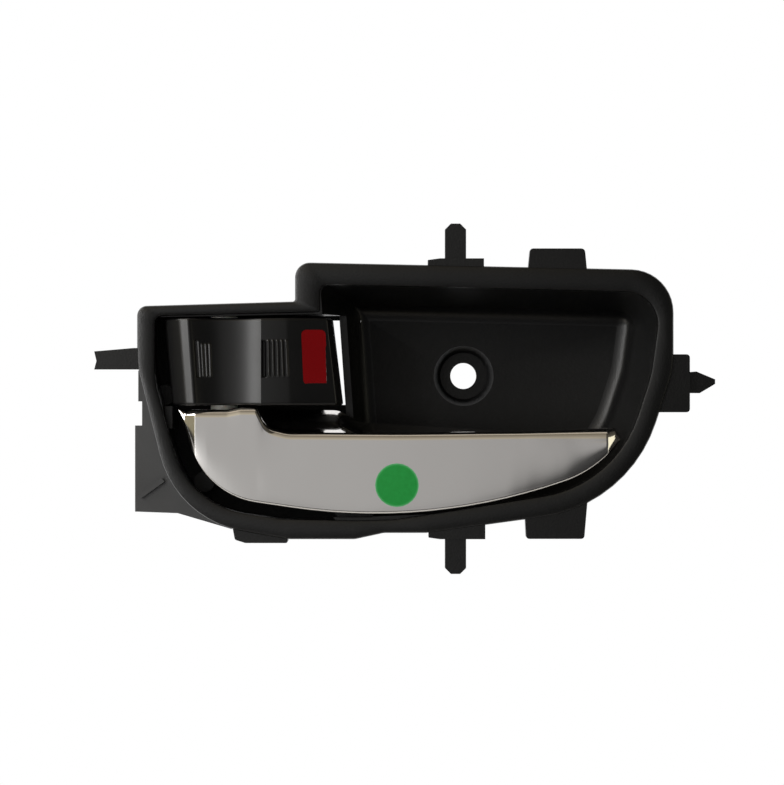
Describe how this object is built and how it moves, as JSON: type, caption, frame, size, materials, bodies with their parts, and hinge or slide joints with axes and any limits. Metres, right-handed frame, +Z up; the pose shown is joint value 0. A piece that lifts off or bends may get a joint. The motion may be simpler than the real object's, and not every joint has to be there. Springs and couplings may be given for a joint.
{
  "type": "car interior door handle",
  "caption": "Inside release handle of a car door: chrome pull lever and black lock rocker in a black housing with a finger cup and a screw seat.",
  "frame": {"origin": "axis of the housing's screw hole, at the back face of the screw seat", "axes": "+X to the right seen from the cabin, +Y into the door, +Z up"},
  "size_m": [0.1888, 0.045, 0.1064],
  "materials": {
    "housing": "fine moulded grain",
    "bracket": "plain moulded",
    "zinc": "zinc plated",
    "steel": "turned",
    "chrome": "bright plated plastic",
    "nylon": "glass filled, dull",
    "spring_steel": "oiled wire",
    "acetal": "natural white",
    "gloss_black": "polished",
    "red": "smooth",
    "rubber": "dull",
    "green_film": "printed film"
  },
  "bodies": {
    "housing_body": {"housing": "housing", "cable_bracket": "bracket", "bracket_screws": "zinc", "pivot_pin": "steel", "pin_clip": "steel", "detent_spring": "spring_steel", "rest_bumper": "rubber", "open_bumper": "rubber", "knob_bumpers": "rubber", "top_washer": "acetal"},
    "lever": {"lever_shell": "chrome", "lever_hub": "nylon", "return_spring": "spring_steel", "hub_washer": "acetal", "inspection_dot": "green_film"},
    "rocker": {"lock_knob": "gloss_black", "lock_hub": "acetal", "lock_marker": "red"}
  },
  "joints": [
    {"name": "lever_pull", "type": "hinge", "parent": "housing_body", "child": "lever", "pos_m": [-0.074, -0.025, 0], "axis": [0, 0, -1], "range_deg": [0, 32], "stiffness_Nm_per_rad": 0.6, "springref_deg": -14.32, "deforming": ["return_spring"]},
    {"name": "lock_rock", "type": "hinge", "parent": "housing_body", "child": "rocker", "pos_m": [-0.074, -0.025, 0], "axis": [0, 0, 1], "range_deg": [0, 20], "deforming": ["detent_spring"]}
  ]
}
